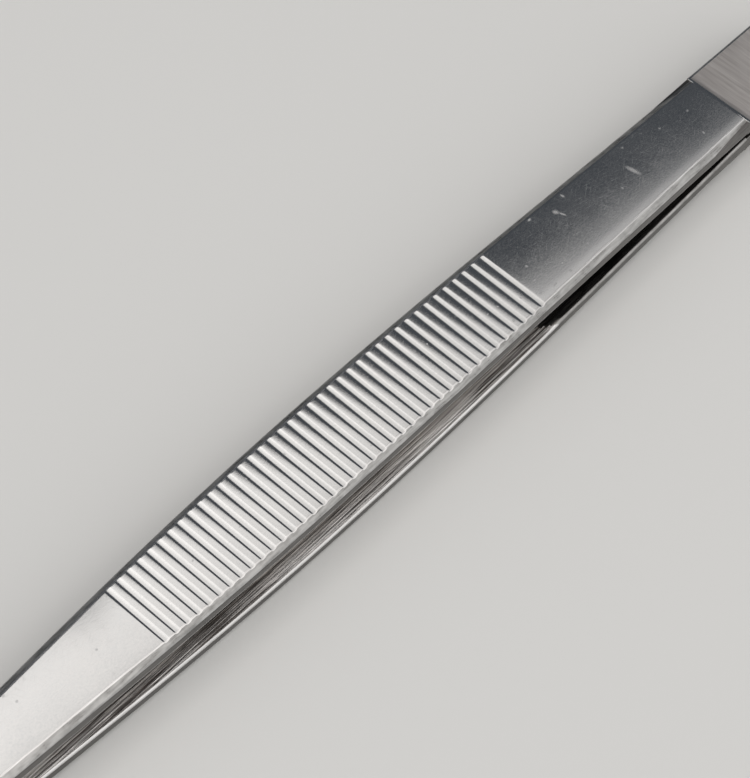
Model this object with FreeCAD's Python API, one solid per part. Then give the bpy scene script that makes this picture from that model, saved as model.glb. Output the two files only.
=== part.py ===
import FreeCAD, Part
import os
from FreeCAD import Vector

# Thumb forceps: two spring legs, mirror images of each other, welded flat at the heel.
# X runs along the legs towards the heel, Y across them, and Z up from the lower leg's bow.

# Overall sizes, in millimetres
length = 160.0
jaw_length = 12.0
heel_zone = 13.5
weld_length = 8.0

# Distances of the named sections from the heel end
nose_station = 114.7
shoulder_station = 90.7
crest_station = 72.0
grip_end_station = 50.0
spring_station = 32.0

# Half widths of a leg
tip_half_width = 1.3
neck_half_width = 1.88
nose_half_width = 3.53
shoulder_half_width = 4.68
crest_half_width = 5.0
grip_end_half_width = 4.8
spring_half_width = 4.46
heel_half_width = 4.1
heel_end_half_width = 3.85

# Heights of the outer face above the plane that the legs meet on
tip_outer = 2.0
neck_outer = 2.3
nose_outer = 3.14
shoulder_outer = 3.55
crest_outer = 3.74
grip_end_outer = 3.47
spring_outer = 2.89
heel_outer = 2.3
pad_drop = 0.12

# How much is ground flat off the top of the bow, so that the forceps lie still
rest_depth = 0.05

# Thickness of the steel before the inside is ground
tip_thickness = 1.5
neck_thickness = 1.62
nose_thickness = 1.9
shoulder_thickness = 1.74
crest_thickness = 1.7
grip_end_thickness = 1.7
spring_thickness = 1.66
heel_thickness = 1.94

# Bevel along the outer edges
bevel_width = 0.79
bevel_height = 0.46
bevel_run_out = 4.5

# Cross grooves of the thumb grip
groove_count = 39
groove_pitch = 1.336
groove_width = 0.72
groove_depth = 0.18
last_groove_station = 45.2

# Ground inside of the grip and front, with a round-ended run-out
ground_depth = 0.12
ground_station = 47.7
ground_nose_allowance = 0.25

# Cross teeth inside the jaws
tooth_count = 10
tooth_pitch = 1.0
tooth_width = 0.86
tooth_depth = 0.28
tooth_setback = 1.0

# Rounded corners of the heel, how far cutting tools overrun, and what counts as the same place
heel_corner = 1.6
overrun = 2.0
tolerance = 0.01

# Places along X
heel_x = length / 2
tip_x = -length / 2
face_end_x = heel_x - heel_zone
weld_x = heel_x - weld_length
ground_x = heel_x - ground_station
last_groove_x = heel_x - last_groove_station
reach = crest_half_width + overrun

# Sections from the tip to the end of the polished face: X, half width, height, thickness
sections = [
    (tip_x, tip_half_width, tip_outer, tip_thickness),
    (tip_x + jaw_length, neck_half_width, neck_outer, neck_thickness),
    (heel_x - nose_station, nose_half_width, nose_outer, nose_thickness),
    (heel_x - shoulder_station, shoulder_half_width, shoulder_outer, shoulder_thickness),
    (heel_x - crest_station, crest_half_width, crest_outer, crest_thickness),
    (heel_x - grip_end_station, grip_end_half_width, grip_end_outer, grip_end_thickness),
    (heel_x - spring_station, spring_half_width, spring_outer, spring_thickness),
    (face_end_x, heel_half_width, heel_outer, heel_thickness),
]


def curve_through(points):
    """Smooth curve through the given points."""
    curve = Part.BSplineCurve()
    curve.interpolate(points)
    return curve


def height_of(curve, x):
    """Height of a side curve where it passes one place along X."""
    plumb = Part.LineSegment(Vector(x, 0, -overrun), Vector(x, 0, crest_outer + overrun))
    return curve.intersectCC(plumb)[0].Z


def piece_of(curve, start_x, end_x):
    """Edge along a side curve between two places along X."""
    ends = [curve.parameter(Vector(x, 0, height_of(curve, x))) for x in (start_x, end_x)]
    return curve.toShape(*ends)


def face_of(edges):
    """Flat face inside a closed run of edges, given in any order."""
    return Part.Face(Part.Wire(Part.__sortEdges__(edges)))


def polygon_of(corners):
    """Flat upright face with the given (x, z) corners."""
    points = [Vector(x, 0, z) for x, z in corners]
    return Part.Face(Part.makePolygon(points + points[:1]))


def across(face):
    """Upright face pushed out to both sides, past the edges of the leg."""
    face.translate(Vector(0, -reach, 0))
    return face.extrude(Vector(0, 2 * reach, 0))


outer_curve = curve_through([Vector(x, 0, outer) for x, half, outer, thickness in sections])
inner_curve = curve_through(
    [Vector(x, 0, outer - thickness) for x, half, outer, thickness in sections]
    + [Vector(weld_x, 0, 0)]
)


def plan_form():
    """Outline of the leg from above: tapered sides, round tip, widest at the thumb."""
    sides = [(tip_x + tip_half_width, tip_half_width)]
    sides += [(x, half) for x, half, outer, thickness in sections[1:]]
    sides.append((heel_x, heel_end_half_width))
    near = curve_through([Vector(x, -half, 0) for x, half in sides])
    far = curve_through([Vector(x, half, 0) for x, half in sides])
    tip = Part.Arc(near.StartPoint, Vector(tip_x, 0, 0), far.StartPoint)
    end = Part.LineSegment(near.EndPoint, far.EndPoint)
    face = face_of([near.toShape(), end.toShape(), far.toShape(), tip.toShape()])
    face.translate(Vector(0, 0, -overrun))
    form = face.extrude(Vector(0, 0, crest_outer + 2 * overrun))
    corners = [edge for edge in form.Edges
               if edge.BoundBox.XMin > heel_x - tolerance and edge.BoundBox.YLength < tolerance]
    return form.makeFillet(heel_corner, corners)


def blade(plan):
    """Bowed blade from the tip to the end of its polished face, with bevelled edges."""
    inner_edge = piece_of(inner_curve, tip_x, face_end_x)
    outer_edge = outer_curve.toShape()
    inner_ends = [v.Point for v in inner_edge.Vertexes]
    tip_end = Part.makeLine(outer_curve.StartPoint, inner_ends[0])
    heel_end = Part.makeLine(outer_curve.EndPoint, inner_ends[1])
    plain = across(face_of([outer_edge, heel_end, inner_edge, tip_end])).common(plan).Solids[0]
    top = max(plain.Faces, key=lambda face: face.CenterOfMass.z)
    rim = [edge for edge in top.Edges if edge.CenterOfMass.x < face_end_x - bevel_width]
    bevelled = plain.makeChamfer(bevel_width, bevel_height, rim)

    # The bevel rises out of the side in its last few millimetres
    start_x = face_end_x - bevel_run_out
    low = height_of(inner_curve, face_end_x) - overrun
    rise = [
        (start_x, height_of(outer_curve, start_x) - bevel_height),
        (face_end_x, heel_outer),
        (face_end_x, low),
        (start_x, low),
    ]
    return bevelled.fuse(plain.common(across(polygon_of(rise))))


def heel(plan):
    """Square-edged heel, ground flat a little below the polished face."""
    inner_edge = piece_of(inner_curve, face_end_x, weld_x)
    inner_ends = [v.Point for v in inner_edge.Vertexes]
    pad_z = heel_outer - pad_drop
    pad = [inner_ends[0], Vector(face_end_x, 0, pad_z), Vector(heel_x, 0, pad_z)]
    pad += [Vector(heel_x, 0, 0), inner_ends[1]]
    lines = [Part.makeLine(a, b) for a, b in zip(pad, pad[1:])]
    return across(face_of(lines + [inner_edge])).common(plan)


def grip_grooves():
    """Round-bottomed cross grooves, sunk the same depth all along the bow."""
    radius = (groove_width ** 2 / 4 + groove_depth ** 2) / (2 * groove_depth)
    grooves = []
    for number in range(groove_count):
        x = last_groove_x - number * groove_pitch
        z = height_of(outer_curve, x) - groove_depth + radius
        grooves.append(Part.makeCylinder(radius, 2 * reach, Vector(x, -reach, z), Vector(0, 1, 0)))
    return grooves


def ground_inside():
    """Layer ground off the inside, ending round the nose of the unground spring."""
    radius = grip_end_half_width + ground_nose_allowance
    low_edge = piece_of(inner_curve, tip_x, ground_x + radius)
    high_edge = low_edge.translated(Vector(0, 0, ground_depth))
    ends = [Part.makeLine(low.Point, high.Point)
            for low, high in zip(low_edge.Vertexes, high_edge.Vertexes)]
    layer = across(face_of([low_edge, high_edge] + ends))
    nose = Part.makeCylinder(radius, crest_outer + overrun, Vector(ground_x + radius, 0, -overrun))
    return layer.cut(nose)


def jaw_teeth(shift):
    """V grooves across the inside of the tip."""
    grooves = []
    for number in range(tooth_count):
        x = tip_x + tooth_setback + shift + (number + 0.5) * tooth_pitch
        z = height_of(inner_curve, x) + ground_depth
        low = z - overrun
        left, right = x - tooth_width / 2, x + tooth_width / 2
        grooves.append(across(polygon_of(
            [(left, z), (x, z + tooth_depth), (right, z), (right, low), (left, low)])))
    return grooves


def room_under_rest():
    """Everything below the flat that is ground on top of the bow."""
    low = Vector(tip_x - overrun, -reach, -overrun)
    return Part.makeBox(length + 2 * overrun, 2 * reach, crest_outer - rest_depth + overrun, low)


def leg(tooth_shift):
    """One complete leg, lying above the plane that the two legs meet on."""
    plan = plan_form()
    body = blade(plan).fuse(heel(plan)).removeSplitter()
    worked = body.cut(grip_grooves() + [ground_inside()] + jaw_teeth(tooth_shift))
    return worked.common(room_under_rest()).Solids[0]


upper_leg = leg(0)
lower_leg = leg(tooth_pitch / 2).mirror(Vector(0, 0, 0), Vector(0, 0, 1))
lift = -lower_leg.optimalBoundingBox(False, False).ZMin

os.makedirs("parts", exist_ok=True)
for name, shape in (("upper_leg", upper_leg), ("lower_leg", lower_leg)):
    shape.translate(Vector(0, 0, lift))
    shape.exportStep("parts/" + name + ".step")
    print(name, "valid", shape.isValid(), "volume", round(shape.Volume, 2), "faces", len(shape.Faces))
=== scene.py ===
import math

import bmesh
import bpy
import numpy as np
from mathutils import Matrix, Vector


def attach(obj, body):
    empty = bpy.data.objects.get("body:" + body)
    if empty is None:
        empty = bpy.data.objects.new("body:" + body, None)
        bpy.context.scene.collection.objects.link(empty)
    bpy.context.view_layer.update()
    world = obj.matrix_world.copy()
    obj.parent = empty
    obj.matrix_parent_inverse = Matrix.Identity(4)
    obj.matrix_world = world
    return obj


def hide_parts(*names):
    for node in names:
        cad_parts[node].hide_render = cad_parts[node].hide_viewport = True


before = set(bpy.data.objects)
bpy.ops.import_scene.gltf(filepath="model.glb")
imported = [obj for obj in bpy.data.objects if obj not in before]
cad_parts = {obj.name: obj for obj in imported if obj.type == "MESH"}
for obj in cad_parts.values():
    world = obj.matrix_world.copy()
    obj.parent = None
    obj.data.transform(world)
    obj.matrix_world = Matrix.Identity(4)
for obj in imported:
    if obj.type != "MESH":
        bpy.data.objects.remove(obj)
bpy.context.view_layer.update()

# Lengths below are millimetres, as on the drawing of the forceps
MM = 0.001

# Drawing values. Heights are above the plane that the legs are welded on, which lies at
# MIDDLE_Z. The bevel rises out of the side from BEVEL_RISE_X on, and BEVEL_REST of it is left
# at the step. The grooves are asymmetric: GROOVE_LOWEST is the place of their lowest line, from
# -1 at the side of the tip to 1 at the side of the heel.
TIP_X = -80.0
HEEL_X = 80.0
MIDDLE_Z = 3.69
TIP_RADIUS = 1.3
HEEL_CORNER = 1.6
FACE_END_X = 66.5
PAD_HEIGHT = 2.18
BEVEL_WIDTH = 0.79
BEVEL_HEIGHT = 0.46
BEVEL_RISE_X = 61.2
BEVEL_REST = 0.14
GROOVE_COUNT = 39
GROOVE_PITCH = 1.336
GROOVE_WIDTH = 0.7
GROOVE_DEPTH = 0.12
GROOVE_DEPTH_FRONT = 0.1
GROOVE_DEEPENS_X = (-20.0, 25.0)
GROOVE_LOWEST = -0.35
GROOVE_CURVE = 2.6
LAST_GROOVE_X = 34.86
FIRST_GROOVE_X = LAST_GROOVE_X - (GROOVE_COUNT - 1) * GROOVE_PITCH
GROUND_DEPTH = 0.12
GROUND_X = 34.0
GROUND_STEP = 1.4
TONGUE_RADIUS = 5.05
TOOTH_COUNT = 10
TOOTH_PITCH = 1.0
TOOTH_WIDTH = 0.86
TOOTH_DEPTH = 0.28
TOOTH_SETBACK = 1.0

# Stations along X, with half width, outer height and inner height above the weld plane
SIDE_X = [-78.7, -68.0, -34.7, -10.7, 8.0, 30.0, 48.0, 66.5, 80.0]
SIDE_HALF = [1.3, 1.88, 3.53, 4.68, 4.998, 4.8, 4.46, 4.1, 3.85]
OUTER_X = [-80.0, -68.0, -34.7, -10.7, 8.0, 30.0, 48.0, 66.5]
OUTER_Z = [2.0, 2.3, 3.14, 3.55, 3.74, 3.47, 2.89, 2.3]
INNER_X = OUTER_X + [72.0]
INNER_Z = [0.5, 0.68, 1.24, 1.81, 2.04, 1.77, 1.23, 0.36, 0.0]

# Hand finish that the drawing leaves out
LAND_WEAR = 0.052
LAND_CROWN = 0.004
WEAR_FADE_TIP = 6.0
WEAR_FADE_HEEL = 30.0
FALL_DEPTH = 0.0036
FALL_WIDTH = 0.95
EDGE_ROUND = 0.1
SHOULDER_ROUND = 0.3
INNER_ROUND = 0.26
GROOVE_BLEND = 0.012
STEP_LEAD = 0.05
STEP_LENGTH = 0.42
HEEL_EDGE = 0.12
HEEL_ROUND = 0.07
HEEL_INNER_ROUND = 0.05

# How the surface is cut up: points round the shoulder, and where the spine ends in the heel
SHOULDER_STEPS = 8
HEEL_FAN_X = 76.0

# Places of the finishes in the list that a leg carries
POLISHED, PAD, BEVEL, SIDE, RUBBED_HIGHLIGHT, GROUND, SPRING = range(7)


def spline(x, stations, values):
    """Cubic through the stations with continuous slope and bend; its end slopes are those of
    the parabolas through the three end points. Slopes come from the usual tridiagonal system."""
    xs = np.array(stations, float)
    ys = np.array(values, float)
    h = np.diff(xs)
    d = np.diff(ys) / h
    system = np.zeros((len(xs), len(xs)))
    right = np.zeros(len(xs))
    inside = np.arange(1, len(xs) - 1)
    system[inside, inside - 1] = h[1:]
    system[inside, inside] = 2 * (h[:-1] + h[1:])
    system[inside, inside + 1] = h[:-1]
    right[inside] = 3 * (h[1:] * d[:-1] + h[:-1] * d[1:])
    system[0, 0] = 1
    system[-1, -1] = 1
    right[0] = d[0] - (d[1] - d[0]) * h[0] / (h[0] + h[1])
    right[-1] = d[-1] + (d[-1] - d[-2]) * h[-1] / (h[-1] + h[-2])
    slope = np.linalg.solve(system, right)
    i = np.clip(np.searchsorted(xs, x) - 1, 0, len(xs) - 2)
    t = (x - xs[i]) / h[i]
    return (
        ys[i] * (1 + 2 * t) * (1 - t) ** 2
        + ys[i + 1] * (3 - 2 * t) * t ** 2
        + h[i] * (slope[i] * t * (1 - t) ** 2 - slope[i + 1] * t ** 2 * (1 - t))
    )


def ramp(value, low, high):
    """0 below low, 1 above high, and the smooth curve 3t^2 - 2t^3 between."""
    t = np.clip((value - low) / (high - low), 0, 1)
    return t * t * (3 - 2 * t)


def groove_drop(x):
    """How far the worked face lies under the bow. A groove's section is the curve 1 - t^2.6 on
    both sides of its lowest line, which lies towards the tip. A land between two grooves is worn
    a little and crowned, and the wear fades out beyond the outer grooves. The larger of the two
    wins, blended by (a + b + sqrt((a - b)^2 + c^2)) / 2."""
    number = np.clip(np.round((x - FIRST_GROOVE_X) / GROOVE_PITCH), 0, GROOVE_COUNT - 1)
    off = x - FIRST_GROOVE_X - number * GROOVE_PITCH
    share = off / (GROOVE_WIDTH / 2) - GROOVE_LOWEST
    share = np.where(share < 0, -share / (1 + GROOVE_LOWEST), share / (1 - GROOVE_LOWEST))
    deeper = ramp(x, *GROOVE_DEEPENS_X)
    depth = GROOVE_DEPTH_FRONT + (GROOVE_DEPTH - GROOVE_DEPTH_FRONT) * deeper
    cut = LAND_WEAR + (depth - LAND_WEAR) * (1 - share ** GROOVE_CURVE)
    between = (x > FIRST_GROOVE_X) & (x < LAST_GROOVE_X)
    land_half = (GROOVE_PITCH - GROOVE_WIDTH) / 2
    from_middle = np.where(between, (GROOVE_PITCH / 2 - np.abs(off)) / land_half, 0.0)
    rise = ramp(x, FIRST_GROOVE_X - WEAR_FADE_TIP, FIRST_GROOVE_X)
    fall = ramp(x, LAST_GROOVE_X, LAST_GROOVE_X + WEAR_FADE_HEEL)
    land = LAND_WEAR * (rise - fall) + LAND_CROWN * from_middle ** 2
    blend = (cut + land + np.sqrt((cut - land) ** 2 + GROOVE_BLEND ** 2)) / 2
    return np.where(np.abs(off) > GROOVE_PITCH, land, blend)


def outer_height(x):
    """The bow, with the step down to the heel's pad."""
    bow = spline(np.minimum(x, FACE_END_X), OUTER_X, OUTER_Z)
    return bow + (PAD_HEIGHT - bow) * ramp(x, FACE_END_X - STEP_LEAD, FACE_END_X + STEP_LENGTH)


def tongue_edge(y):
    """Where along X the ground layer ends: an arc, nearest to the tip in the leg's middle."""
    return GROUND_X + TONGUE_RADIUS - np.sqrt(np.maximum(TONGUE_RADIUS ** 2 - y ** 2, 0.2))


def inner_height(x, y, tooth_shift):
    """The inner bow, raised where a layer is ground away in front of a round tongue, and raised
    again in the V grooves of the jaw."""
    bow = spline(np.minimum(x, INNER_X[-1]), INNER_X, INNER_Z)
    layer = GROUND_DEPTH * ramp(tongue_edge(y) - x, -GROUND_STEP, GROUND_STEP)
    first = TIP_X + TOOTH_SETBACK + tooth_shift + TOOTH_PITCH / 2
    number = np.clip(np.round((x - first) / TOOTH_PITCH), 0, TOOTH_COUNT - 1)
    off = np.abs(x - first - number * TOOTH_PITCH)
    tooth = TOOTH_DEPTH * np.clip(1 - off / (TOOTH_WIDTH / 2), 0, 1)
    return bow + layer + tooth


def outline():
    """Half of the outline seen from above, from the middle of the heel's end round the corner,
    along the side and round the tip: points P, and the spine points Q that they fan from. The
    points are close where the shape turns quickly: at the step, the grooves and the teeth."""
    corner_x = HEEL_X - HEEL_CORNER
    corner_y = float(spline(corner_x, SIDE_X, SIDE_HALF)) - HEEL_CORNER
    end_y = np.linspace(0, corner_y, 5)[:-1]
    turn = np.linspace(0, math.pi / 2, 11)
    in_pitch = np.array([
        0.53, 0.42, 0.375, 0.35, 0.32, 0.25, 0.15, 0.04, -0.06, -0.14, -0.19, -0.235, -0.27, -0.3,
        -0.325, -0.345, -0.365, -0.4, -0.5, -0.66])
    numbers = np.arange(GROOVE_COUNT)[::-1]
    grooved = FIRST_GROOVE_X + GROOVE_PITCH * numbers[:, None] + in_pitch
    spread = [
        np.arange(corner_x - 0.3, 67.0, -0.6),
        [66.85, 66.79, 66.73, 66.67, 66.61, 66.56, 66.52, 66.5001, 66.4999, 66.48, 66.44, 66.3],
        np.arange(66.1, 60.6, -0.25),
        np.arange(60.4, 38.6, -0.5),
        np.arange(38.4, 35.7, -0.15),
        grooved.ravel(),
        np.arange(-17.2, -66.5, -0.55),
        np.arange(-66.8, -78.6, -0.1),
    ]
    side_x = np.concatenate(spread)
    side_y = spline(side_x, SIDE_X, SIDE_HALF)
    nose = np.linspace(math.pi / 2, math.pi, 21)
    nose_x = TIP_X + TIP_RADIUS
    px = np.concatenate([
        np.full(4, HEEL_X),
        corner_x + HEEL_CORNER * np.cos(turn),
        side_x,
        nose_x + TIP_RADIUS * np.cos(nose),
    ])
    py = np.concatenate([
        end_y,
        corner_y + HEEL_CORNER * np.sin(turn),
        side_y,
        TIP_RADIUS * np.sin(nose),
    ])
    return px, py, np.clip(px, nose_x, HEEL_FAN_X)


def bend(points, steps):
    """Bezier curve of two, three or four control points, without its first point."""
    t = np.linspace(0, 1, steps + 1)[1:]
    order = len(points) - 1
    total = 0
    for i, point in enumerate(points):
        weight = math.comb(order, i) * t ** i * (1 - t) ** (order - i)
        total = total + point[:, None, :] * weight[None, :, None]
    return total


def half_leg(tooth_shift, fall_depth):
    """Half of a leg as a grid. A row runs from the spine over the face, its edge, the bevel, the
    softened shoulder, the side and the inner edge, and back along the inside to the spine. The
    face falls away by fall_depth towards its edge, along a parabola, where a wheel rolled it.
    Gives x, y, z, the names of the columns and each point's distance from the outline."""
    px, py, qx = outline()
    width = np.hypot(px - qx, py)
    nx = (px - qx) / width
    ny = py / width
    blade = px < FACE_END_X
    full_x = qx + width * nx
    full_y = width * ny
    bow = outer_height(full_x)
    low_z = spline(BEVEL_RISE_X, OUTER_X, OUTER_Z) - BEVEL_HEIGHT
    run_out = (full_x - BEVEL_RISE_X) / (FACE_END_X - BEVEL_RISE_X)
    rise = low_z + run_out * (OUTER_Z[-1] - BEVEL_REST - low_z)
    foot_z = np.where(full_x > BEVEL_RISE_X, np.minimum(rise, bow), bow - BEVEL_HEIGHT)
    foot_z = np.where(blade, foot_z, bow)
    across = np.where(blade, BEVEL_WIDTH, HEEL_EDGE)
    flat_r = width - across
    slant = BEVEL_WIDTH / BEVEL_HEIGHT
    foot_r = np.where(blade, flat_r + (bow - foot_z) * slant, width)
    drop = np.where(blade, groove_drop(full_x), 0.0)
    edge_r = np.minimum(flat_r + drop * slant, foot_r)
    fall = np.where(blade, fall_depth, 0.0)
    edge_z = outer_height(qx + edge_r * nx) - drop - fall
    inner_z = inner_height(full_x, full_y, tooth_shift)

    def corner(r, z):
        return np.stack([r, z], 1)

    edge = corner(edge_r, edge_z)
    foot = corner(foot_r, foot_z)
    shoulder = corner(width, foot_z)
    inner = corner(width, inner_z)
    bevel = foot - edge
    bevel_long = np.maximum(np.hypot(bevel[:, 0], bevel[:, 1]), 1e-6)
    along = bevel / bevel_long[:, None]
    cut = np.minimum(EDGE_ROUND, 0.4 * bevel_long)[:, None]
    back = np.minimum(SHOULDER_ROUND, 0.45 * bevel_long)[:, None]
    soft = SHOULDER_ROUND * (1 - 0.75 * ramp(full_x, BEVEL_RISE_X - 1, BEVEL_RISE_X + 1))
    down = np.where(blade, soft, HEEL_ROUND)[:, None] * [0, 1]
    lip = np.where(full_x < INNER_X[-2], INNER_ROUND, HEEL_INNER_ROUND)[:, None]

    not_fallen = fall * (1 - (1 - EDGE_ROUND / FALL_WIDTH) ** 2)
    face_end = corner(edge_r - EDGE_ROUND, edge_z + not_fallen)
    edge_out = edge + along * cut
    shoulder_in = foot - along * back
    side_top = shoulder - down
    side_low = inner + lip * [0, 1]
    inside_edge = inner - lip * [1, 0]

    reach = np.array([0.0, 0.18, 0.36, 0.54, 0.68, 0.76, 0.83, 0.89, 0.95])
    inward = np.array([0.98, 0.93, 0.85, 0.75, 0.64, 0.52, 0.4, 0.27, 0.14, 0.0])
    support = np.maximum(edge_r - EDGE_ROUND - 0.05, 0)
    face_r = np.concatenate([support[:, None] * reach, support[:, None]], 1)
    face = np.stack([face_r, np.repeat(edge_z[:, None], face_r.shape[1], 1)], 2)
    inside_r = inside_edge[:, :1] * inward
    inside = np.stack([inside_r, np.repeat(inner_z[:, None], inside_r.shape[1], 1)], 2)
    parts = [
        ("face", np.concatenate([face, face_end[:, None]], 1)),
        ("edge", bend([face_end, edge, edge_out], 4)),
        ("bevel", bend([edge_out, shoulder_in], 3)),
        ("shoulder", bend([shoulder_in, foot, shoulder, side_top], SHOULDER_STEPS)),
        ("side", bend([side_top, side_low], 3)),
        ("lip", bend([side_low, inner, inside_edge], 4)),
        ("inside", inside),
    ]
    names = np.concatenate([[name] * part.shape[1] for name, part in parts])
    grid = np.concatenate([part for name, part in parts], 1)
    r = grid[:, :, 0]
    x = qx[:, None] + r * nx[:, None]
    y = r * ny[:, None]
    z = grid[:, :, 1].copy()
    on_face = names == "face"
    face_drop = np.where(blade[:, None], groove_drop(x[:, on_face]), 0.0)
    rolled = np.clip((r[:, on_face] - edge_r[:, None]) / FALL_WIDTH + 1, 0, 1)
    z[:, on_face] = outer_height(x[:, on_face]) - face_drop - fall[:, None] * rolled ** 2
    on_inside = names == "inside"
    z[:, on_inside] = inner_height(x[:, on_inside], y[:, on_inside], tooth_shift)
    return x, y, z, names, width[:, None] - r


def leg(name, side, tooth_shift, finishes):
    """Both halves of a leg, joined along the spine. side is 1 for the leg whose bow is on top
    and -1 for the one that lies below the weld plane, which is its mirror image. Only the near
    half of the face falls away towards its edge."""
    near_x, near_y, near_z = half_leg(tooth_shift, FALL_DEPTH)[:3]
    x, y, z, names, rim = half_leg(tooth_shift, 0.0)
    near = np.stack([near_x, -near_y, MIDDLE_Z + side * near_z], 2).reshape(-1, 3)
    far = np.stack([x, y, MIDDLE_Z + side * z], 2).reshape(-1, 3)
    rows, columns = x.shape
    index = np.arange(rows * columns).reshape(rows, columns)
    quads = np.stack([index[:-1, :-1], index[:-1, 1:], index[1:, 1:], index[1:, :-1]], 2)
    quads = quads.reshape(-1, 4)
    faces = np.concatenate([quads, quads[:, ::-1] + rows * columns])
    middle_x = (x[:-1, :-1] + x[1:, 1:]) / 2
    middle_y = (y[:-1, :-1] + y[1:, 1:]) / 2
    zone = np.repeat(names[None, 1:], rows - 1, 0)
    unground = middle_x >= tongue_edge(middle_y)
    picked = np.full(zone.shape, POLISHED)
    picked[(zone == "face") & (middle_x > FACE_END_X + STEP_LENGTH * 0.7)] = PAD
    picked[np.isin(zone, ["bevel", "shoulder"])] = BEVEL
    # The bevel's finish ends part of the way round the shoulder, where the side's painted shade
    # begins
    turn = np.cumsum(zone == "shoulder", 1) / SHOULDER_STEPS
    picked[(zone == "shoulder") & (turn > np.where(middle_x > BEVEL_RISE_X, 0.4, 0.6))] = SIDE
    picked[zone == "side"] = SIDE
    # Edges and lips take the rubbed finish with its painted highlight
    picked[np.isin(zone, ["edge", "lip"])] = RUBBED_HIGHLIGHT
    # Behind the tongue the lip takes the bevel's finish, which leaves the painted highlight off
    # there
    picked[(zone == "lip") & unground] = BEVEL
    picked[(zone == "inside") & ~unground] = GROUND
    picked[(zone == "inside") & unground] = SPRING
    # Behind the grooves the far edge is as polished as the face, so the painted highlight of the
    # rubbed edge stays on the near side
    far_picked = picked.copy()
    far_picked[(zone == "edge") & (middle_x > LAST_GROOVE_X + GROOVE_WIDTH)] = POLISHED
    picked = np.concatenate([picked.ravel(), far_picked.ravel()])

    mesh = bpy.data.meshes.new(name)
    mesh.from_pydata((np.concatenate([near, far]) * MM).tolist(), [], faces.tolist())
    for finish in finishes:
        mesh.materials.append(finish)
    mesh.polygons.foreach_set("material_index", picked)
    # Distance of each point from the outline, which the painted shade of the ground inside is read
    # by
    from_rim = mesh.attributes.new("from_rim", "FLOAT", "POINT")
    from_rim.data.foreach_set("value", np.tile(rim.ravel() * MM, 2))
    shape = bmesh.new()
    shape.from_mesh(mesh)
    bmesh.ops.remove_doubles(shape, verts=shape.verts, dist=2e-7)
    bmesh.ops.recalc_face_normals(shape, faces=shape.faces)
    shape.to_mesh(mesh)
    shape.free()
    mesh.shade_smooth()
    made = bpy.data.objects.new(name, mesh)
    bpy.context.scene.collection.objects.link(made)
    return made


def linear(colour):
    """sRGB hex to linear red, green, blue and alpha."""
    values = [int(colour[i:i + 2], 16) / 255 for i in (1, 3, 5)]
    return [v / 12.92 if v <= 0.04045 else ((v + 0.055) / 1.055) ** 2.4 for v in values] + [1.0]


def add(tree, kind, inputs=None, **settings):
    """Adds a node with its settings; an input is a value, or an output socket to link from."""
    made = tree.nodes.new("ShaderNode" + kind)
    for name, value in settings.items():
        setattr(made, name, value)
    for name, value in (inputs or {}).items():
        if isinstance(value, bpy.types.NodeSocket):
            tree.links.new(value, made.inputs[name])
        else:
            made.inputs[name].default_value = value
    return made


def steel(name, colours, grain, roughness, bump, cloud=9.0, spread=0.16):
    """A steel finish. grain is the spacing of its marks in mm along X, Y and Z, and cloud that of
    its soft patches; the marks make 0.65 of its tone and the patches 0.35. colours are its
    darkest and lightest tone, roughness is its range, bump the height of its marks in mm, and a
    smaller spread gives them more contrast. Real brush lines are about 0.05 mm apart, and are
    drawn at 0.12 mm or more so that they show."""
    material = bpy.data.materials.new(name)
    material.use_nodes = True
    tree = material.node_tree
    shader = tree.nodes["Principled BSDF"]
    shader.inputs["Metallic"].default_value = 1.0
    place = add(tree, "TexCoord").outputs["Object"]
    stretched = add(tree, "Mapping", {
        "Vector": place, "Scale": [1 / (g * MM) for g in grain]}).outputs["Vector"]
    marks = add(tree, "TexNoise", {
        "Vector": stretched, "Scale": 1.0, "Detail": 3.0, "Roughness": 0.6}).outputs["Fac"]
    clouds = add(tree, "TexNoise", {
        "Vector": place, "Scale": 1 / (cloud * MM), "Detail": 3.0}).outputs["Fac"]
    mixed = add(tree, "Math", {0: marks, 1: 0.65}, operation="MULTIPLY").outputs[0]
    tone = add(tree, "Math", {0: clouds, 1: 0.35, 2: mixed}, operation="MULTIPLY_ADD").outputs[0]
    shades = add(tree, "ValToRGB", {"Fac": tone})
    for stop, at, colour in zip(shades.color_ramp.elements, (0.5 - spread, 0.5 + spread), colours):
        stop.position = at
        stop.color = linear(colour)
    tree.links.new(shades.outputs["Color"], shader.inputs["Base Color"])
    rough = add(tree, "MapRange", {
        "Value": tone, "From Min": 0.3, "From Max": 0.7,
        "To Min": roughness[0], "To Max": roughness[1]}).outputs["Result"]
    tree.links.new(rough, shader.inputs["Roughness"])
    raised = add(tree, "Bump", {
        "Height": marks, "Strength": 1.0, "Distance": bump * MM}).outputs["Normal"]
    tree.links.new(raised, shader.inputs["Normal"])
    return material


# Marks of use in mm. Real hairlines are finer, and are drawn HAIR_WIDTH wide so that they show.
# Each set of them has its angle and how strongly it shows
HAIR_LENGTH = 1.5
HAIR_WIDTH = 0.08
HAIR_SETS = ((14, 0.13), (68, 0.1), (-37, 0.12))
PRICK_SPACING = 2.1
PRICK_STRENGTH = 0.45
NICK_STRENGTH = 0.72
MARK_ROUGHNESS = 0.35
MARK_TONE = "#efefee"


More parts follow.
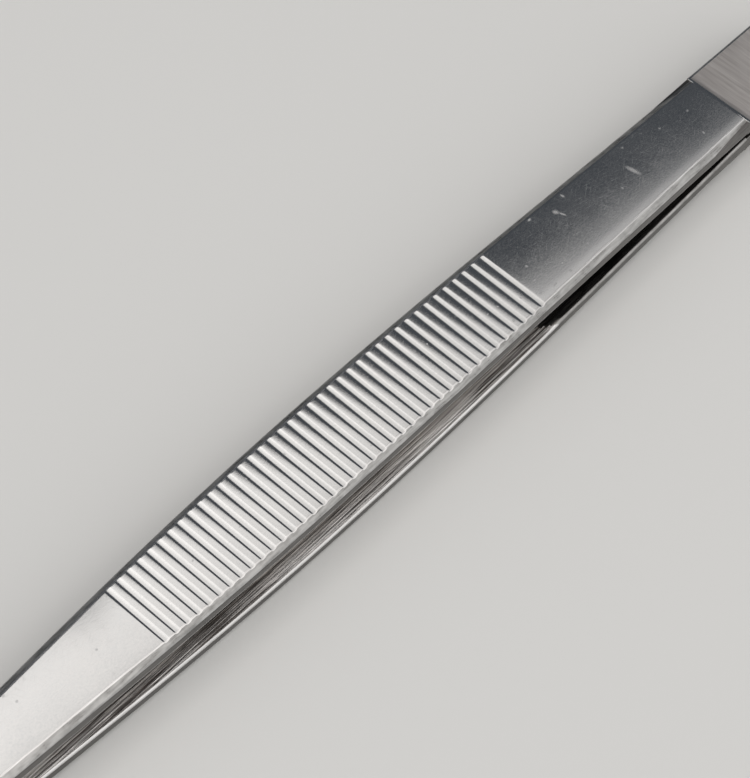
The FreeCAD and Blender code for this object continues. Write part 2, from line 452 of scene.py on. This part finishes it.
def handled(material, nicks):
    """Adds what use has left on a polished steel: hairlines, pinpricks and nicks. A nick is the
    middle X, Y and Z, the angle and the length and width of a soft-edged patch. All of it is
    rougher and paler than the polish."""
    tree = material.node_tree
    shader = tree.nodes["Principled BSDF"]
    place = add(tree, "TexCoord").outputs["Object"]
    marks = 0.0
    for turn, share in HAIR_SETS:
        turned = add(tree, "Mapping", {
            "Vector": place, "Rotation": (0, 0, math.radians(turn))}).outputs["Vector"]
        drawn = add(tree, "Mapping", {
            "Vector": turned,
            "Scale": (1 / (HAIR_LENGTH * MM), 1 / (HAIR_WIDTH * MM), 1 / MM)}).outputs["Vector"]
        line = add(tree, "TexNoise", {"Vector": drawn, "Scale": 1.0, "Detail": 0.0}).outputs["Fac"]
        scratch = add(tree, "MapRange", {
            "Value": line, "From Min": 0.66, "From Max": 0.84, "To Max": share}).outputs["Result"]
        marks = add(tree, "Math", {0: marks, 1: scratch}, operation="MAXIMUM").outputs[0]
    cells = add(tree, "TexVoronoi", {
        "Vector": place, "Scale": 1 / (PRICK_SPACING * MM)}).outputs["Distance"]
    prick = add(tree, "MapRange", {
        "Value": cells, "From Min": 0.09, "From Max": 0.04,
        "To Max": PRICK_STRENGTH}).outputs["Result"]
    marks = add(tree, "Math", {0: marks, 1: prick}, operation="MAXIMUM").outputs[0]
    for x, y, z, turn, long, wide in nicks:
        patch = add(tree, "Mapping", {
            "Vector": place, "Location": [v * MM for v in (x, y, z)],
            "Rotation": (0, 0, math.radians(turn)),
            "Scale": [v * MM for v in (long / 2, wide / 2, 2.5)]}, vector_type="TEXTURE")
        away = add(tree, "VectorMath", {0: patch.outputs["Vector"]}, operation="LENGTH")
        soft = add(tree, "MapRange", {
            "Value": away.outputs["Value"], "From Min": 1.0, "From Max": 0.3,
            "To Max": NICK_STRENGTH}).outputs["Result"]
        marks = add(tree, "Math", {0: marks, 1: soft}, operation="MAXIMUM").outputs[0]
    shine = shader.inputs["Roughness"].links[0].from_socket
    rougher = add(tree, "Math", {0: marks, 1: MARK_ROUGHNESS, 2: shine}, operation="MULTIPLY_ADD")
    tree.links.new(rougher.outputs[0], shader.inputs["Roughness"])
    bare = shader.inputs["Base Color"].links[0].from_socket
    paler = add(tree, "Mix", {"Factor": marks, "A": bare, "B": linear(MARK_TONE)}, data_type="RGBA")
    tree.links.new(paler.outputs["Result"], shader.inputs["Base Color"])
    return material


def painted_shade_inward(material, tone, near, far):
    """Multiplies the colour by a darker tone from far mm inside the leg's outline, fading out
    to near mm: painted shade for the gap between the legs, which lies in shadow away from the rim."""
    tree = material.node_tree
    shader = tree.nodes["Principled BSDF"]
    inward = add(tree, "Attribute", attribute_name="from_rim").outputs["Fac"]
    share = add(tree, "MapRange", {
        "Value": inward, "From Min": near * MM, "From Max": far * MM}).outputs["Result"]
    bare = shader.inputs["Base Color"].links[0].from_socket
    shaded = add(tree, "Mix", {"Factor": share, "A": bare, "B": linear(tone)},
                 data_type="RGBA", blend_type="MULTIPLY")
    tree.links.new(shaded.outputs["Result"], shader.inputs["Base Color"])
    return material


# Marks that the polished face has from use: X, Y, Z, angle, length and width
FACE_NICKS = [
    (53.56, 0.35, 6.0, -80, 2.1, 0.6),
    (44.2, 2.4, 6.3, -60, 0.85, 0.6),
    (44.5, 1.75, 6.3, -72, 1.0, 0.3),
    (41.66, 3.6, 6.4, 0, 0.6, 0.35),
    (46.2, 3.25, 6.2, -80, 0.7, 0.35),
    (39.95, -2.14, 6.5, 40, 0.3, 0.22),
    (62.2, -1.6, 6.0, 80, 0.5, 0.28),
    (37.5, -3.35, 6.6, 15, 0.8, 0.18),
    (36.5, -1.6, 6.6, 0, 0.35, 0.25),
    (30.3, -1.05, 7.0, 0, 0.45, 0.14),
    (31.65, -1.13, 7.0, 0, 0.4, 0.13),
    (23.7, 0.77, 7.1, 20, 0.25, 0.2),
    (-3.0, -0.4, 7.2, 10, 0.4, 0.16),
]

finishes = [
    # Mirror polish of the outer face: a clear reflection, faintly hazed by hand marks
    handled(steel("mirror_polished_steel", ("#c9caca", "#d5d5d4"), (0.22, 0.16, 0.2), (0.04, 0.09),
                  0.0005, 4.0), FACE_NICKS),
    # Heel pad brushed across the leg: pale, with fine lines from side to side
    steel("cross_brushed_steel", ("#c4beba", "#eeeae6"), (0.3, 6.0, 6.0), (0.3, 0.42), 0.002,
          9.0, 0.22),
    # Bevel: an even grey sheen with fine lines along it
    steel("satin_steel", ("#908f8d", "#b9b8b6"), (2.6, 0.3, 0.3), (0.24, 0.36), 0.003, 0.9, 0.11),
    # Side below the bevel: the same lines, but a duller grey, darkened as painted shade for the
    # dark surroundings it mirrors
    steel("satin_steel_side_painted_shade", ("#62605f", "#7d7b79"), (3.0, 0.2, 0.2), (0.3, 0.4), 0.002, 2.0),
    # Edges rubbed by use: a thin bright line, paler than the polish, so it is partly a painted
    # highlight
    steel("burnished_steel_painted_highlight", ("#d0cfce", "#ecebea"), (3.0, 0.12, 0.12), (0.22, 0.32), 0.001),
    # Ground inside of the grip: deep streaks along the leg; painted shade darkens it inward from
    # the rim
    painted_shade_inward(steel("coarse_ground_steel_painted_shade", ("#6b6561", "#fffcf9"), (12.0, 0.17, 0.6),
                        (0.34, 0.54), 0.26, 14.0, 0.07), "#b4b0ac", 0.35, 1.7),
    # Unground inside of the spring: dark, with faint lines along the leg
    steel("dull_spring_steel", ("#5c5a58", "#8d8b88"), (4.0, 0.3, 0.5), (0.22, 0.34), 0.004),
]

upper_leg = leg("upper_leg_finished", 1, 0.0, finishes)
lower_leg = leg("lower_leg_finished", -1, 0.5, finishes)
for piece, node in ((upper_leg, "upper_leg"), (lower_leg, "lower_leg")):
    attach(piece, "root")
    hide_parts(node)


# Floor
def painted(name, colour):
    """Plain matt paint."""
    material = bpy.data.materials.new(name)
    material.use_nodes = True
    shader = material.node_tree.nodes["Principled BSDF"]
    shader.inputs["Base Color"].default_value = linear(colour)
    shader.inputs["Roughness"].default_value = 0.75
    return material


floor_mesh = bpy.data.meshes.new("floor")
floor_mesh.from_pydata([(-3, -3, 0), (3, -3, 0), (3, 3, 0), (-3, 3, 0)], [], [(0, 1, 2, 3)])
floor_mesh.materials.append(painted("pale_matt_paint", "#dededc"))
floor = bpy.data.objects.new("floor", floor_mesh)
bpy.context.scene.collection.objects.link(floor)


# Light
def soft_box(name, centre, turn, size, strength, depth_fade, width_fade):
    """A level area lamp facing down, which the camera does not see directly. The fades give its
    brightness at shares of its depth and width, as on a cloth that is lit from one corner."""
    lamp = bpy.data.lights.new(name, "AREA")
    lamp.shape = "RECTANGLE"
    lamp.color = linear("#fffbf8")[:3]
    lamp.size = size[0] * MM
    lamp.size_y = size[1] * MM
    lamp.energy = strength * math.pi * size[0] * size[1] * MM * MM
    lamp.use_nodes = True
    tree = lamp.node_tree
    where = add(tree, "NewGeometry").outputs["Parametric"]
    split = add(tree, "SeparateXYZ", {"Vector": where})
    levels = []
    for side, fade in (("Y", depth_fade), ("X", width_fade)):
        level = add(tree, "ValToRGB", {"Fac": split.outputs[side]})
        stops = level.color_ramp.elements
        for stop in fade[1:-1]:
            stops.new(stop[0])
        for stop, (at, grey) in zip(stops, fade):
            stop.position = at
            stop.color = (grey, grey, grey, 1)
        levels.append(level.outputs["Color"])
    both = add(tree, "VectorMath", {0: levels[0], 1: levels[1]}, operation="MULTIPLY")
    tree.links.new(both.outputs["Vector"], tree.nodes["Emission"].inputs["Color"])
    made = bpy.data.objects.new(name, lamp)
    made.location = Vector(centre) * MM
    made.rotation_euler = (0, 0, math.radians(turn))
    made.visible_camera = False
    bpy.context.scene.collection.objects.link(made)


# The soft box hangs level over the bench. Its front border runs along along_border through the
# point border, and its cloth starts 10 mm in front of that
LIGHT_SIZE = (1500, 800)
LIGHT_TURN = 177.54
LIGHT_STRENGTH = 1.31
DEPTH_FADE = [
    (0.0, 0.05), (0.0075, 0.06), (0.0175, 0.8), (0.0225, 1.0), (0.03, 0.97), (0.0475, 0.8),
    (0.1, 0.7), (1.0, 0.7)]
WIDTH_FADE = [
    (0.0, 0.2), (0.22, 0.22), (0.3, 0.35), (0.39, 0.7), (0.46, 0.92), (0.51, 0.97),
    (0.56, 1.04), (0.63, 1.36), (0.72, 1.36), (0.8, 1.2), (1.0, 1.2)]

border = Vector((267.6, 266.8, 607.0))
along_border = Vector((0.999, -0.043, 0))
into_light = Vector((-0.043, -0.999, 0))
light_centre = border + along_border * -50 + into_light * 390
soft_box("soft_box", light_centre, LIGHT_TURN, LIGHT_SIZE, LIGHT_STRENGTH, DEPTH_FADE, WIDTH_FADE)

# Studio round the object: even and pale, but dark towards one corner, which the polished face
# mirrors at its heel end
DARK_CORNER = (0.669, 0.608, 0.426)
ROOM_TONE = (0.92, 0.92, 0.92, 1)
DARK_TONE = (0.083, 0.09, 0.101, 1)
BEHIND_LIGHT = 0.3

world = bpy.data.worlds.new("studio")
bpy.context.scene.world = world
world.use_nodes = True
sky = world.node_tree
heading = add(sky, "TexCoord").outputs["Generated"]
towards = add(sky, "VectorMath", {0: heading, 1: DARK_CORNER}, operation="DOT_PRODUCT")
glow = add(sky, "ValToRGB", {"Fac": add(sky, "MapRange", {
    "Value": towards.outputs["Value"], "From Min": 0.25, "From Max": 0.85},
    interpolation_type="SMOOTHSTEP").outputs["Result"]})
glow.color_ramp.elements[0].color = ROOM_TONE
glow.color_ramp.elements[1].color = DARK_TONE

# A lamp lets the world behind it through, so the world is dimmer behind the soft box. The
# slopes are a direction's X and Y for each Z that it rises, and each pair of numbers is where
# the world is bare and where it is hidden.
part = add(sky, "SeparateXYZ", {"Vector": heading}).outputs
rise = add(sky, "Math", {0: part["Z"], 1: 0.05}, operation="MAXIMUM").outputs[0]
slope_x = add(sky, "Math", {0: part["X"], 1: rise}, operation="DIVIDE").outputs[0]
slope_y = add(sky, "Math", {0: part["Y"], 1: rise}, operation="DIVIDE").outputs[0]
hidden = 1.0
for slope, bare_at, hidden_at in ((slope_y, 0.47, 0.41), (slope_y, -1.0, -0.8),
                                  (slope_x, -1.0, -0.8), (slope_x, 0.8, 0.45)):
    share = add(sky, "MapRange", {
        "Value": slope, "From Min": bare_at, "From Max": hidden_at},
        interpolation_type="SMOOTHSTEP").outputs["Result"]
    hidden = add(sky, "Math", {0: hidden, 1: share}, operation="MULTIPLY").outputs[0]
seen = add(sky, "MapRange", {
    "Value": hidden, "To Min": 1.0, "To Max": BEHIND_LIGHT}).outputs["Result"]
dimmed = add(sky, "VectorMath", {0: glow.outputs["Color"], "Scale": seen}, operation="SCALE")
sky.links.new(dimmed.outputs["Vector"], sky.nodes["Background"].inputs["Color"])

# Camera, where the photograph was taken from: it looks at a point of the grip from a distance
# in mm, and azimuth, elevation and roll are in degrees
CAMERA_TARGET = (18.301, 2.413, MIDDLE_Z)
CAMERA_DISTANCE = 307.65
CAMERA_AZIMUTH = 49.15
CAMERA_ELEVATION = 56.63
CAMERA_ROLL = -2.298
CAMERA_LENS = 149.49

azimuth = math.radians(CAMERA_AZIMUTH)
elevation = math.radians(CAMERA_ELEVATION)
roll = math.radians(CAMERA_ROLL)
level = math.cos(elevation)
back = Vector((-level * math.sin(azimuth), -level * math.cos(azimuth), math.sin(elevation)))
right = (-back).cross(Vector((0, 0, 1))).normalized()
down = (-back).cross(right)
turned_right = math.cos(roll) * right + math.sin(roll) * down
turned_down = -math.sin(roll) * right + math.cos(roll) * down
place = (Vector(CAMERA_TARGET) + back * CAMERA_DISTANCE) * MM
lens = bpy.data.cameras.new("camera")
lens.sensor_width = 36.0
lens.lens = CAMERA_LENS
lens.clip_start = 0.01
lens.clip_end = 20.0
camera = bpy.data.objects.new("camera", lens)
axes = Matrix((turned_right, -turned_down, back)).transposed()
camera.matrix_world = Matrix.Translation(place) @ axes.to_4x4()
bpy.context.scene.collection.objects.link(camera)
bpy.context.scene.camera = camera

bpy.context.scene.view_settings.view_transform = "Standard"
